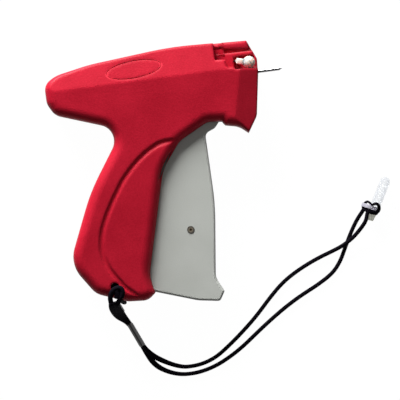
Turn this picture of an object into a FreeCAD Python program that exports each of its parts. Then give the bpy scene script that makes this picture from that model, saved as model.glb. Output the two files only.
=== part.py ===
import FreeCAD, Part
import math
import os
import types
import Sketcher

# A garment tag attacher, a hand gun that pushes plastic fasteners through cloth.
# It lies on its left side. +X runs along the needle, +Y points to the gun's top and
# +Z to its right side. The origin lies on the left side face, straight below the
# needle's axis, so Z 0 is the surface that the gun rests on.

Vector = FreeCAD.Vector

# Driving dimensions, in millimetres and degrees.
SIZES = {
    # the gun as a whole: nose to hump, needle axis to top, needle axis to heel
    "head_length": 127.9,
    "head_rise": 21.2,
    "grip_depth": 127.4,
    "half_thickness": 14.0,
    "rest_back": 60.0,
    # the two shells
    "wall": 2.2,
    "side_round": 6.0,
    "cavity_depth": 7.6,
    "head_core_depth": 9.8,
    "grip_core_depth": 11.8,
    "slope_drop": 5.6,
    "bevel_width": 11.0,
    "bevel_drop": 3.2,
    "groove_radius": 2.0,
    "groove_sink": 0.9,
    "badge_length": 33.6,
    "badge_width": 11.2,
    "badge_line": 0.6,
    "badge_sink": 0.35,
    "post_radius": 3.4,
    "screw_radius": 1.15,
    "screw_play": 0.15,
    "screw_head_radius": 2.1,
    "screw_head_height": 1.5,
    "screw_reach": 7.2,
    "boss_radius": 4.4,
    "rail_width": 1.4,
    "rail_start": 3.0,
    "rail_back": 8.0,
    "eye_radius": 2.6,
    # the tag's way through the head
    "slot_width": 5.2,
    "slot_near": 4.5,
    "slot_far": 2.2,
    "band_floor": 3.0,
    "channel_floor": 1.0,
    "lock_floor": 2.0,
    # the trigger and the linkage
    "trigger_half": 8.0,
    "trigger_wall": 1.8,
    "trigger_web": 2.4,
    "side_gap": 0.3,
    "mouth_gap": 0.55,
    "trigger_round": 1.4,
    "pivot_radius": 2.0,
    "pin_radius": 1.5,
    "foot_pin_half": 5.0,
    "rivet_radius": 2.2,
    "rivet_proud": 0.25,
    "seat_play": 0.02,
    "running_play": 0.06,
    "link_play": 0.5,
    "link_thick": 1.6,
    "link_width": 6.4,
    "lever_half": 2.0,
    "lever_hub_radius": 3.6,
    "lever_collar_radius": 3.9,
    "lever_tip_radius": 2.4,
    "lower_arm": 22.0,
    "lower_arm_lean": 7.5,
    "upper_arm": 79.0,
    "upper_arm_lean": 1.414,
    "lever_swing": 28.955,
    # the slide that carries the push rod
    "slide_half": 5.6,
    "slide_length": 13.0,
    "slide_top": 11.5,
    "slide_bottom": 8.5,
    "slide_play": 0.3,
    "slide_slot_play": 0.6,
    "nose_block_length": 2.0,
    "nose_block_half": 3.0,
    "rod_radius": 0.5,
    "rod_play": 0.2,
    "rod_rest_back": 25.5,
    # needle, hub, knife and lock
    "needle_radius": 1.0,
    "needle_shank_radius": 1.2,
    "needle_step": 0.5,
    "needle_bore": 0.65,
    "needle_slit": 0.5,
    "needle_reach": 15.2,
    "needle_bevel": 3.0,
    "hub_radius": 2.6,
    "hub_length": 13.0,
    "hub_front": 2.2,
    "knife_thick": 0.5,
    "ball_radius": 3.8,
    "ball_height": 8.5,
    "stem_height": 3.5,
    "stem_thick": 3.4,
    "lock_pin_radius": 0.9,
    "lock_pin_seat": 1.6,
    "lock_pin_top": 8.5,
    "cam_half": 1.0,
    "cam_thick": 1.7,
    # the feed wheel
    "wheel_radius": 5.2,
    "wheel_root": 3.7,
    "wheel_half": 1.8,
    "wheel_axle": 1.0,
    "wheel_axle_half": 6.0,
    "wheel_teeth": 12,
    "leaf_thick": 0.4,
    "leaf_half": 3.8,
    # the return spring
    "spring_wire": 1.0,
    "spring_radius": 5.0,
    # the wrist strap and the needle's cap
    "strap_span": 100.0,
    "strand_radius": 1.2,
    "strand_play": 0.05,
    "tab_radius": 1.5,
    "knot_radius": 5.0,
    "knot_height": 3.6,
    "crimp_width": 3.5,
    "crimp_height": 5.9,
    "crimp_sheet": 0.45,
    "crimp_length": 15.0,
    "cap_radius": 3.3,
    "cap_tip_radius": 2.8,
    "cap_length": 20.5,
    "cap_tip_round": 2.0,
    "cap_flange_radius": 4.6,
    "cap_flange": 1.7,
    "cap_neck_radius": 2.2,
    "cap_neck": 7.4,
    "cap_bore": 1.25,
    "cap_height": 4.7,
    "hitch_radius": 3.45,
    "overrun": 4.0,
}

doc = FreeCAD.newDocument("garment_tag_attacher")
sheet = doc.addObject("Spreadsheet::Sheet", "Sizes")
for row, (alias, value) in enumerate(SIZES.items(), 1):
    sheet.set(f"A{row}", alias)
    sheet.set(f"B{row}", str(value))
    sheet.setAlias(f"B{row}", alias)
doc.recompute()
S = types.SimpleNamespace(**{alias: float(sheet.get(alias)) for alias in SIZES})

# Outlines: how far back from the nose as a share of head_length, how far up as a
# share of head_rise or down as a share of grip_depth, and the corner's radius as a
# share of head_length.
OUTER_SHARES = [
    (0.036, 0.906, 0.0), (-0.003, 0.354, 0.023), (0.002, -0.016, 0.235),
    (0.033, -0.208, 0.063), (0.080, -0.281, 0.0),
    (0.121, -0.246, 0.094), (0.185, -0.231, 0.0), (0.198, -0.212, 0.0),
    (0.266, -0.206, 0.063), (0.407, -0.279, 0.109), (0.500, -0.400, 0.235),
    (0.628, -0.887, 0.195), (0.611, -0.969, 0.0),
    (0.649, -1.000, 0.060), (0.743, -0.993, 0.078), (0.887, -0.938, 0.094),
    (0.966, -0.820, 0.141), (0.974, -0.746, 0.195), (0.852, -0.463, 0.938),
    (0.667, -0.189, 0.078), (0.970, -0.081, 0.062), (1.000, -0.024, 0.070),
    (1.000, 0.401, 0.062), (0.942, 0.613, 0.156), (0.782, 0.797, 0.782),
    (0.391, 1.000, 1.564),
]
FIRST_BODY_CORNER = 9  # the cavity follows the outline from here to the end
CAVITY_FRONT_SHARES = [
    (0.281, 0.840, 0.0), (0.281, -0.098, 0.0), (0.208, -0.098, 0.0),
    (0.208, -0.178, 0.0),
]
MOUTH_SHARES = [
    (0.191, -0.181, 0.0), (0.191, -0.471, 0.0), (0.516, -0.980, 0.0),
    (0.688, -0.980, 0.0), (0.704, -0.754, 0.0), (0.579, -0.455, 0.0),
    (0.375, -0.120, 0.0), (0.214, -0.120, 0.0),
]
GRIP_CORE_SHARES = [
    (0.676, -0.930, 0.0), (0.844, -0.885, 0.039), (0.915, -0.793, 0.047),
    (0.919, -0.730, 0.047), (0.805, -0.471, 0.156), (0.661, -0.235, 0.047),
    (0.661, -0.030, 0.016), (0.344, -0.030, 0.016), (0.344, -0.157, 0.023),
    (0.453, -0.322, 0.047), (0.547, -0.487, 0.047), (0.657, -0.832, 0.047),
]
HEAD_CORE_SHARES = [
    (0.923, -0.047, 0.031), (0.923, 0.377, 0.031), (0.328, 0.580, 0.023),
    (0.328, -0.047, 0.023),
]
RECESS_SHARES = [
    (0.194, 1.300, 0.0), (0.194, 0.458, 0.0), (0.150, 0.443, 0.012),
    (0.144, 0.198, 0.012), (-0.004, 0.075, 0.0), (-0.050, 0.075, 0.0),
    (-0.050, 1.300, 0.0),
]
BAND_SHARES = [
    (0.194, 1.300, 0.0), (0.194, 0.770, 0.0), (-0.050, 0.750, 0.0), (-0.050, 1.300, 0.0),
]
CHANNEL_SHARES = [
    (0.194, 0.790, 0.0), (0.194, 0.620, 0.0), (-0.050, 0.600, 0.0), (-0.050, 0.770, 0.0),
]
LOCK_POCKET_SHARES = [
    (0.107, 0.490, 0.006), (0.107, 0.125, 0.006), (0.010, 0.125, 0.006),
    (0.010, 0.490, 0.006),
]
GROOVE_SHARES = [
    (0.432, -0.272), (0.496, -0.273), (0.569, -0.310), (0.639, -0.367),
    (0.690, -0.423), (0.743, -0.502), (0.787, -0.577), (0.819, -0.648),
    (0.833, -0.714), (0.830, -0.778), (0.809, -0.833), (0.772, -0.892),
    (0.742, -0.933), (0.690, -0.976),
]
TRIGGER_SHARES = [
    (0.197, -0.193, 0.006), (0.235, -0.238, 0.039), (0.283, -0.256, 0.031),
    (0.2795, -0.590, 1.200), (0.322, -0.936, 0.078), (0.289, -1.003, 0.009),
    (0.315, -1.047, 0.017),
    (0.417, -1.031, 0.195), (0.613, -0.964, 0.313), (0.688, -0.930, 0.023),
    (0.688, -0.754, 0.016), (0.575, -0.659, 0.016), (0.575, -0.502, 0.031),
    (0.516, -0.392, 0.156), (0.453, -0.298, 0.094), (0.344, -0.192, 0.047),
    (0.280, -0.127, 0.033), (0.2125, -0.127, 0.032), (0.2125, -0.172, 0.0),
]
TRIGGER_SEEN_CORNERS = 8  # the first corners are the front edge and the bottom
TRIGGER_HOLLOW_SHARES = [(0.720, -0.240, 0.0), (0.320, -0.240, 0.0)]

# Places: the same shares without a radius.
TRIGGER_PIVOT_SHARES = (0.246, -0.161)
LINK_PIN_SHARES = (0.409, -0.697)
LEVER_PIVOT_SHARES = (0.6685, -0.5573)
STRAP_EYE_SHARES = (0.794, -0.918)
BADGE_SHARES = (0.575, 0.500)
SCREW_SHARES = [
    (0.884, 0.071), (0.469, 0.730), (0.094, -0.118), (0.899, -0.761), (0.727, -0.947),
]
WHEEL_SHARES = (0.2322, 0.3255)
LOCK_PIVOT_SHARES = (0.0907, 0.3585)
BALL_SHARES = (0.036, 0.2925)
# The strap's routes, as shares of strap_span: along X, along Y, and the height.
UPPER_STRAND_SHARES = [
    (-0.3204, -1.4947, 0.0422), (-0.2978, -1.5502, 0.0422), (-0.2660, -1.5960, 0.0400),
    (-0.2180, -1.6320, 0.0250), (-0.1520, -1.6690, 0.0125), (-0.0590, -1.6990, 0.0125),
    (0.0380, -1.6960, 0.0125), (0.1270, -1.6660, 0.0125), (0.2130, -1.6070, 0.0125),
    (0.3080, -1.5350, 0.0125), (0.4040, -1.4510, 0.0125), (0.4950, -1.3570, 0.0125),
    (0.5840, -1.2750, 0.0125), (0.6830, -1.2150, 0.0125), (0.8050, -1.1620, 0.0125),
    (0.9180, -1.1250, 0.0190), (0.9760, -1.1020, 0.0420), (1.0350, -1.0650, 0.0440),
    (1.0760, -1.0240, 0.0560), (1.1140, -0.9760, 0.0820), (1.1440, -0.9330, 0.0830),
]
LOWER_STRAND_SHARES = [
    (-0.3204, -1.4947, 0.0178), (-0.2978, -1.5502, 0.0178), (-0.2730, -1.6060, 0.0160),
    (-0.2300, -1.6650, 0.0125), (-0.1640, -1.7160, 0.0125), (-0.0770, -1.7450, 0.0125),
    (0.0200, -1.7420, 0.0125), (0.1200, -1.7170, 0.0125), (0.2110, -1.6740, 0.0125),
    (0.2960, -1.6250, 0.0125), (0.3900, -1.5550, 0.0125), (0.4770, -1.4940, 0.0125),
    (0.5760, -1.4280, 0.0125), (0.6800, -1.3710, 0.0125), (0.7960, -1.3170, 0.0125),
    (0.8920, -1.2600, 0.0125), (0.9460, -1.1950, 0.0125), (0.9820, -1.1240, 0.0125),
    (1.0300, -1.0340, 0.0125), (1.0760, -0.9610, 0.0200), (1.1180, -0.9060, 0.0400),
]
TAB_SHARES = [
    (-0.4120, -1.2160, 0.2990), (-0.4060, -1.2560, 0.2960), (-0.3950, -1.2960, 0.2350),
    (-0.3830, -1.3330, 0.1350), (-0.3720, -1.3640, 0.0560), (-0.3600, -1.3990, 0.0310),
    (-0.3500, -1.4280, 0.0300),
]
CRIMP_SHARES = (-0.3580, -1.4020)
CRIMP_TURN = -67.9
FLANGE_SHARES = (1.172, -0.898)
CAP_TURN = 59.0
SLOT_BACK_SHARE = 0.1923
BEAK_SHARE = -0.31
SPRING_LEG_SHARE = 0.27
SPRING_REST_SHARES = (0.833, -0.500)
WHEEL_ROOT_SHARE = 0.36
WHEEL_TIP_SHARE = 0.16
PAWL_ANGLE = 45
BADGE_TILT = 3.5
FRONT_TILT = -13.0


def at(x_share, y_share):
    """A place in the gun's side view."""
    up = S.head_rise if y_share > 0 else S.grip_depth
    return Vector(S.rest_back - x_share * S.head_length, y_share * up, 0)


def corners(shares):
    """Places and corner radii from a table of shares."""
    return [(at(x, y), r * S.head_length) for x, y, r in shares]


def inset(points, distance):
    """The outline moved inwards. The points run clockwise in the side view."""
    moved = []
    for i, (p, radius) in enumerate(points):
        before, after = points[i - 1][0], points[(i + 1) % len(points)][0]
        u = (p - before).normalize()
        w = (after - p).normalize()
        inward_u, inward_w = Vector(u.y, -u.x, 0), Vector(w.y, -w.x, 0)
        middle = (inward_u + inward_w).normalize()
        step = distance / middle.dot(inward_u)
        convex = u.cross(w).z < 0
        new_radius = max(radius - distance, 0) if convex else radius + distance
        moved.append((p + middle * step, new_radius))
    return moved


def rounded_edges(points):
    """The lines and tangent arcs of a closed outline with rounded corners."""
    cuts = []
    for i, (p, radius) in enumerate(points):
        u = points[i - 1][0] - p
        w = points[(i + 1) % len(points)][0] - p
        short = min(u.Length, w.Length)
        u.normalize()
        w.normalize()
        turn = math.pi - u.getAngle(w)
        if radius <= 0:
            cuts.append((p, p, p))
            continue
        tangent = min(radius * math.tan(turn / 2), 0.49 * short)
        fitted = tangent / math.tan(turn / 2)
        middle = (u + w).normalize() * (fitted / math.cos(turn / 2) - fitted)
        cuts.append((p + u * tangent, p + middle, p + w * tangent))
    edges = []
    for i, (start, middle, end) in enumerate(cuts):
        if start != end:
            edges.append(Part.Arc(start, middle, end))
        edges.append(Part.LineSegment(end, cuts[(i + 1) % len(cuts)][0]))
    return edges


def new_body(name):
    """A body whose own Z 0 is the gun's middle plane."""
    body = doc.addObject("PartDesign::Body", name)
    body.Label = name
    body.Placement = FreeCAD.Placement(Vector(0, 0, S.half_thickness), FreeCAD.Rotation())
    body.setExpression("Placement.Base.z", "Sizes.half_thickness")
    return body


def sketch(body, edges=(), plane="XY_Plane", height=0, turn=None):
    """A sketch on one of the body's own planes, moved along its normal by height."""
    origin = next(o for o in body.Origin.OriginFeatures if o.Role == plane)
    drawing = body.newObject("Sketcher::SketchObject", "Sketch")
    drawing.AttachmentSupport = (origin, [""])
    drawing.MapMode = "FlatFace"
    drawing.AttachmentOffset = FreeCAD.Placement(
        Vector(0, 0, height), turn or FreeCAD.Rotation()
    )
    if edges:
        drawing.addGeometry(list(edges), False)
    return drawing


def circle(drawing, centre, radius):
    """A circle whose radius is an expression on the sheet."""
    value = sheet_value(radius)
    index = drawing.addGeometry(Part.Circle(centre, Vector(0, 0, 1), value), False)
    constraint = drawing.addConstraint(Sketcher.Constraint("Radius", index, value))
    drawing.setExpression(f"Constraints[{constraint}]", radius)


def sheet_value(expression):
    """The value of an expression on the sheet."""
    return float(sheet.evalExpression(expression))


def polygon(*points):
    """Straight edges round a closed outline."""
    ring = list(points) + [points[0]]
    return [Part.LineSegment(a, b) for a, b in zip(ring, ring[1:])]


def pad(body, drawing, length, both=False, back=False):
    """Adds material over a sketch."""
    feature = body.newObject("PartDesign::Pad", "Pad")
    feature.Profile = drawing
    feature.setExpression("Length", length)
    feature.Midplane = both
    feature.Reversed = back
    feature.Refine = False
    doc.recompute()
    body.Tip = feature
    return feature


def pocket(body, drawing, length, both=True, back=False):
    """Takes material away over a sketch, and checks that it did."""
    before = body.Tip.Shape.Volume
    feature = body.newObject("PartDesign::Pocket", "Pocket")
    feature.Profile = drawing
    feature.setExpression("Length", length)
    feature.Midplane = both
    feature.Reversed = back
    feature.Refine = False
    doc.recompute()
    if feature.Shape.Volume >= before:
        raise RuntimeError(f"{body.Label}: {feature.Name} cuts nothing")
    body.Tip = feature
    return feature


def fillet(body, radius, wanted):
    """Rounds the edges that the function wanted picks."""
    base = body.Tip
    names = [f"Edge{i}" for i, e in enumerate(base.Shape.Edges, 1) if wanted(e)]
    feature = body.newObject("PartDesign::Fillet", "Fillet")
    feature.Base = (base, names)
    feature.setExpression("Radius", radius)
    doc.recompute()
    body.Tip = feature
    return feature


TRIGGER_PIVOT = at(*TRIGGER_PIVOT_SHARES)
LINK_PIN = at(*LINK_PIN_SHARES)
LEVER_PIVOT = at(*LEVER_PIVOT_SHARES)
STRAP_EYE = at(*STRAP_EYE_SHARES)
WHEEL_CENTRE = at(*WHEEL_SHARES)
LOCK_PIVOT = at(*LOCK_PIVOT_SHARES)
BALL_CENTRE = at(*BALL_SHARES)
NOSE_X = S.rest_back
SLOT_BACK_X = at(SLOT_BACK_SHARE, 0).x
SLOT_FRONT_X = SLOT_BACK_X + S.slot_width
HUB_FRONT_X = NOSE_X - S.hub_front
HUB_BACK_X = HUB_FRONT_X - S.hub_length
KNIFE_BACK_Z = -2 * S.needle_radius
LEAF_Y = S.slide_top + S.slide_play + S.rail_width
PAWL_LOW_Y = WHEEL_CENTRE.y + S.wheel_root / 2


def polar(centre, length, degrees):
    """A point at a length from a centre, at an angle from straight up, clockwise."""
    angle = math.radians(degrees)
    return centre + Vector(math.sin(angle), math.cos(angle), 0) * length


LEVER_TIP = polar(LEVER_PIVOT, S.upper_arm, S.upper_arm_lean)
LEVER_FOOT = polar(LEVER_PIVOT, S.lower_arm, 180 - S.lower_arm_lean)
LEVER_LOW_Y = polar(LEVER_PIVOT, S.upper_arm, S.upper_arm_lean + S.lever_swing).y
SLIDE_FRONT_X = LEVER_TIP.x + S.slide_length / 2 + S.nose_block_length
BOSS_START = S.trigger_half + S.side_gap
BEAK = at(*OUTER_SHARES[4][:2])
SLOPE_FOOT = 0.17 * S.head_rise
SLOPE_RUN = 1.1 * S.head_rise


def slope_height(y):
    """How high the sloping top of the side face is above the middle plane."""
    return S.half_thickness - (y - SLOPE_FOOT) * S.slope_drop / SLOPE_RUN


def bar_z(body, centre, radius, start, end, cut=False):
    """A cylinder along Z between two heights, or its hole, at one centre or at several."""
    drawing = sketch(body, height=(start + end) / 2)
    for place in centre if isinstance(centre, list) else [centre]:
        circle(drawing, place, radius)
    length = f"{abs(end - start)}"
    return pocket(body, drawing, length) if cut else pad(body, drawing, length, both=True)


def bar_x(body, radius, start, end, cut=False):
    """A cylinder along the needle's axis between two places, or its hole."""
    drawing = sketch(body, plane="YZ_Plane", height=(start + end) / 2)
    circle(drawing, Vector(), radius)
    length = f"{abs(end - start)}"
    return pocket(body, drawing, length) if cut else pad(body, drawing, length, both=True)


def plate(body, edges, start, end, cut=False):
    """A flat shape between two heights, or its hole."""
    drawing = sketch(body, edges, height=(start + end) / 2)
    length = f"{abs(end - start)}"
    return pocket(body, drawing, length) if cut else pad(body, drawing, length, both=True)


def box_edges(x0, x1, y0, y1):
    """The four edges of an upright rectangle."""
    return polygon(Vector(x0, y0, 0), Vector(x1, y0, 0), Vector(x1, y1, 0), Vector(x0, y1, 0))


def shell_form(body, side):
    """The outside of one half: rounded edges, sloping top, bevelled nose."""
    outer = corners(OUTER_SHARES)
    top = side * S.half_thickness
    pad(body, sketch(body, rounded_edges(outer)), "Sizes.half_thickness", back=side < 0)

    def side_edge(edge):
        on_side = all(abs(v.Z - top) < S.seat_play for v in edge.Vertexes)
        return on_side and edge.CenterOfMass.x < BEAK.x

    fillet(body, "Sizes.side_round", side_edge)

    out = side * (S.half_thickness + S.overrun)
    y_top = SLOPE_FOOT + SLOPE_RUN
    slope = polygon(
        Vector(SLOPE_FOOT, top, 0),
        Vector(y_top, side * slope_height(y_top), 0),
        Vector(y_top, out, 0),
        Vector(SLOPE_FOOT, out, 0),
    )
    pocket(body, sketch(body, slope, plane="YZ_Plane"), "3 * Sizes.head_length")

    drop = S.bevel_drop * (S.bevel_width + S.overrun) / S.bevel_width
    bevel = polygon(
        Vector(-S.bevel_width, top, 0),
        Vector(S.overrun, top - side * drop, 0),
        Vector(S.overrun, out, 0),
        Vector(-S.bevel_width, out, 0),
    )
    drawing = sketch(body, bevel, plane="XZ_Plane")
    drawing.AttachmentOffset = FreeCAD.Placement(
        Vector(NOSE_X, 0, 0), FreeCAD.Rotation(Vector(0, 1, 0), FRONT_TILT)
    )
    pocket(body, drawing, "3 * Sizes.grip_depth")


def shell_hollow(body, side):
    """The hollow that the mechanism works in, with its posts, bosses and rails."""
    inner = inset(corners(OUTER_SHARES), S.wall)[FIRST_BODY_CORNER:]
    for ring, depth in (
        (corners(CAVITY_FRONT_SHARES) + inner, "cavity_depth"),
        (corners(GRIP_CORE_SHARES), "grip_core_depth"),
        (corners(HEAD_CORE_SHARES), "head_core_depth"),
    ):
        pocket(body, sketch(body, rounded_edges(ring)), f"2 * Sizes.{depth}")
    grip_end = side * (S.grip_core_depth + S.wall / 4)
    head_end = side * (S.head_core_depth + S.wall / 4)
    shallow_end = side * (S.cavity_depth + S.wall / 4)

    front_x = at(CAVITY_FRONT_SHARES[0][0], 0).x - S.pivot_radius
    back_x = LEVER_TIP.x - S.slide_length / 2 - S.rail_back
    upper_y = S.slide_top + S.slide_play
    lower_y = -S.slide_bottom - S.slide_play
    for y0, y1, end in (
        (upper_y, upper_y + S.rail_width, head_end),
        (lower_y - S.rail_width, lower_y, grip_end),
    ):
        plate(body, box_edges(back_x, front_x, y0, y1), side * S.rail_start, end)
    bar_z(body, LEVER_PIVOT, "Sizes.boss_radius", side * BOSS_START, grip_end)
    bar_z(body, STRAP_EYE, "Sizes.eye_radius + Sizes.wall", 0, grip_end)
    places = [at(*shares) for shares in SCREW_SHARES]
    for centres, end in (
        (places[0], head_end), (places[1], shallow_end), (places[3:], grip_end)
    ):
        bar_z(body, centres, "Sizes.post_radius", 0, end)
    mouth = rounded_edges(corners(MOUTH_SHARES))
    pocket(body, sketch(body, mouth), "2 * (Sizes.trigger_half + Sizes.mouth_gap)")


def shell_holes(body, side):
    """The seats of pins, screws and inner pieces, and the tag's way through."""
    pin_end = side * (S.grip_core_depth + S.seat_play)
    bar_z(body, [TRIGGER_PIVOT, LEVER_PIVOT], "Sizes.pivot_radius + Sizes.seat_play",
          0, pin_end, cut=True)
    bar_z(body, STRAP_EYE, "Sizes.eye_radius", 0, side * (S.half_thickness + S.overrun), cut=True)
    screws = [at(*shares) for shares in SCREW_SHARES]
    if side > 0:
        bar_z(body, screws, "Sizes.screw_radius", 0, S.screw_reach + S.side_gap, cut=True)
    else:
        bar_z(body, screws, "Sizes.screw_radius + Sizes.screw_play", 0,
              -S.screw_reach - S.wall, cut=True)
        bar_z(body, screws, "Sizes.screw_head_radius + Sizes.screw_play",
              -S.screw_reach, -S.half_thickness - S.overrun, cut=True)

    low_y, high_y = at(0, BEAK_SHARE).y, at(0, 1).y + S.overrun
    plate(body, box_edges(SLOT_BACK_X, SLOT_FRONT_X, low_y, high_y),
          -S.slot_far, S.slot_near, cut=True)
    cavity_x = at(CAVITY_FRONT_SHARES[0][0], 0).x
    bar_x(body, "Sizes.rod_radius + Sizes.rod_play", cavity_x - S.wall, SLOT_BACK_X + S.wall,
          cut=True)
    bar_x(body, "Sizes.needle_shank_radius + Sizes.seat_play", SLOT_FRONT_X - S.wall,
          NOSE_X + S.overrun, cut=True)
    bar_x(body, "Sizes.hub_radius + Sizes.seat_play", HUB_BACK_X, HUB_FRONT_X, cut=True)
    wheel_gap = S.wheel_half + S.side_gap
    bar_z(body, WHEEL_CENTRE, "Sizes.wheel_radius + 2 * Sizes.side_gap",
          -wheel_gap, wheel_gap, cut=True)
    bar_z(body, WHEEL_CENTRE, "Sizes.wheel_axle + Sizes.seat_play",
          -S.wheel_axle_half, S.wheel_axle_half, cut=True)
    plate(body, box_edges(cavity_x - S.wall, WHEEL_CENTRE.x, PAWL_LOW_Y, LEAF_Y + S.wall),
          -wheel_gap, wheel_gap, cut=True)


def near_side_recess(body):
    """The open recess on the right half of the head, with its band, ledge and lock pocket."""
    out = S.half_thickness + S.overrun
    for shares, floor in (
        (RECESS_SHARES, S.slot_near),
        (BAND_SHARES, S.band_floor),
        (CHANNEL_SHARES, S.channel_floor),
        (LOCK_POCKET_SHARES, S.lock_floor),
    ):
        plate(body, rounded_edges(corners(shares)), floor, out, cut=True)
    bar_z(body, LOCK_PIVOT, "Sizes.lock_pin_radius + Sizes.seat_play",
          S.lock_floor - S.lock_pin_seat, S.lock_floor + S.side_gap, cut=True)


def knife_edges(play):
    """The blade's outline in the side view, grown by a play."""
    back_x = SLOT_FRONT_X - S.side_gap
    return box_edges(
        back_x - play, HUB_BACK_X - S.side_gap + play, -S.hub_radius - play, S.hub_radius + play
    )


def badge_ring(body, side):
    """The fine oval line on the sloping top, with a bare middle."""
    centre = at(*BADGE_SHARES)
    lean = math.degrees(math.atan2(S.slope_drop, SLOPE_RUN))
    drawing = sketch(body)
    drawing.AttachmentOffset = FreeCAD.Placement(
        Vector(centre.x, centre.y, side * slope_height(centre.y)),
        FreeCAD.Rotation(Vector(1, 0, 0), -side * lean).multiply(
            FreeCAD.Rotation(Vector(0, 0, 1), BADGE_TILT)
        ),
    )
    for grow in (0, -S.badge_line):
        long = S.badge_length / 2 + grow
        short = S.badge_width / 2 + grow
        oval = Part.Ellipse(Vector(long, 0, 0), Vector(0, short, 0), Vector())
        drawing.addGeometry(oval, False)
    pocket(body, drawing, "2 * Sizes.badge_sink")


def smooth_path(points):
    """Straight runs joined by the largest tangent arcs that the runs allow."""
    edges, radii, start = [], [], points[0]
    for before, p, after in zip(points, points[1:], points[2:]):
        u, w = before - p, after - p
        tangent = 0.45 * min(u.Length, w.Length)
        u.normalize()
        w.normalize()
        half_turn = (math.pi - u.getAngle(w)) / 2
        radius = tangent / math.tan(half_turn)
        middle = p + (u + w).normalize() * (radius / math.cos(half_turn) - radius)
        enter, leave = p + u * tangent, p + w * tangent
        edges.append(Part.LineSegment(start, enter).toShape())
        edges.append(Part.Arc(enter, middle, leave).toShape())
        radii.append(radius)
        start = leave
    edges.append(Part.LineSegment(start, points[-1]).toShape())
    return Part.Wire(edges), radii


def tube_solid(points, radius):
    """A round tube along a path, and the path's smallest radius and its length."""
    path, radii = smooth_path(points)
    ring = Part.Wire(Part.Circle(points[0], points[1] - points[0], radius).toShape())
    return path.makePipeShell([ring], True, False), min(radii), path.Length


def hand_groove(side):
    """The long S-shaped groove of the grip as a tool that cuts the side face."""
    height = side * (S.half_thickness + S.groove_radius - S.groove_sink)
    lifted = [at(x, y) + Vector(0, 0, height + S.half_thickness) for x, y in GROOVE_SHARES]
    return tube_solid(lifted, S.groove_radius)[0]


def make_shell(name, side):
    """One moulded half. side is 1 for the right half and -1 for the left one."""
    body = new_body(name)
    shell_form(body, side)
    shell_hollow(body, side)
    shell_holes(body, side)
    if side > 0:
        near_side_recess(body)
    else:
        plate(body, knife_edges(S.seat_play), KNIFE_BACK_Z - S.seat_play,
              KNIFE_BACK_Z + S.knife_thick + S.seat_play, cut=True)
    badge_ring(body, side)
    groove_tool = doc.addObject("Part::Feature", f"{name}_groove_tool")
    groove_tool.Shape = hand_groove(side)
    shell = doc.addObject("Part::Cut", f"{name}_grooved")
    shell.Base = body
    shell.Tool = groove_tool
    doc.recompute()
    body.Label = f"{name}_body"
    shell.Label = name
    return shell


def link_edges(a, b, radius_a, radius_b):
    """The outline of an arm round two pins: tangent lines and end arcs."""
    along = b - a
    length = along.Length
    along.normalize()
    across = Vector(-along.y, along.x, 0)
    sine = (radius_a - radius_b) / length
    cosine = math.sqrt(1 - sine * sine)
    lean = along * sine
    up, down = across * cosine + lean, across * -cosine + lean
    return [
        Part.LineSegment(a + up * radius_a, b + up * radius_b),
        Part.Arc(b + up * radius_b, b + along * radius_b, b + down * radius_b),
        Part.LineSegment(b + down * radius_b, a + down * radius_a),
        Part.Arc(a + down * radius_a, a - along * radius_a, a + up * radius_a),
    ]


def make_trigger():
    """The trigger: a channel with a hub at its top, open to the rear."""
    body = new_body("trigger")
    outline = corners(TRIGGER_SHARES)
    plate(body, rounded_edges(outline), -S.trigger_half, S.trigger_half)
    low_x = outline[TRIGGER_SEEN_CORNERS - 1][0].x

    def seen_edge(edge):
        c = edge.CenterOfMass
        flat = all(abs(abs(v.Z) - S.trigger_half) < S.seat_play for v in edge.Vertexes)
        return flat and c.x > low_x and c.y < outline[1][0].y

    fillet(body, "Sizes.trigger_round", seen_edge)
    front = inset(outline, S.trigger_web)[2:TRIGGER_SEEN_CORNERS + 1]
    rear = corners(TRIGGER_HOLLOW_SHARES)
    low_rear = Vector(rear[0][0].x, front[-1][0].y, 0)
    hollow = rounded_edges(front + [(low_rear, 0)] + rear)
    pocket(body, sketch(body, hollow), "2 * (Sizes.trigger_half - Sizes.trigger_wall)")
    ends = S.trigger_half + S.overrun
    bar_z(body, TRIGGER_PIVOT, "Sizes.pivot_radius + Sizes.running_play", -ends, ends, cut=True)
    bar_z(body, LINK_PIN, "Sizes.pin_radius + Sizes.seat_play", -ends, ends, cut=True)
    return body


def make_pin(name, centre, radius, reach):
    """A plain round pin across the gun."""
    body = new_body(name)
    bar_z(body, centre, radius, -reach, reach)
    return body


def make_link_pin():
    """The rivet that shows on the trigger's side, with a flat head at each end."""
    body = make_pin("trigger_link_pin", LINK_PIN, "Sizes.pin_radius", S.trigger_half)
    for side in (1, -1):
        face = side * S.trigger_half
        top = face + side * S.rivet_proud
        bar_z(body, LINK_PIN, "Sizes.rivet_radius", face, top)
        bar_z(body, LINK_PIN, "Sizes.pin_radius / 2", face - side * S.side_gap, top, cut=True)
    return body


def make_links():
    """Two equal plates that join the trigger's pin to the lever's foot."""
    body = new_body("drive_links")
    body.AllowCompound = True
    start = S.lever_half + S.side_gap
    half = S.link_width / 2
    ends = start + S.link_thick + S.side_gap
    for side in (1, -1):
        plate(body, link_edges(LINK_PIN, LEVER_FOOT, half, half),
              side * start, side * (start + S.link_thick))
    bar_z(body, LINK_PIN, "Sizes.pin_radius + Sizes.running_play", -ends, ends, cut=True)
    bar_z(body, LEVER_FOOT, "Sizes.pin_radius + Sizes.link_play", -ends, ends, cut=True)
    return body


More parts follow.
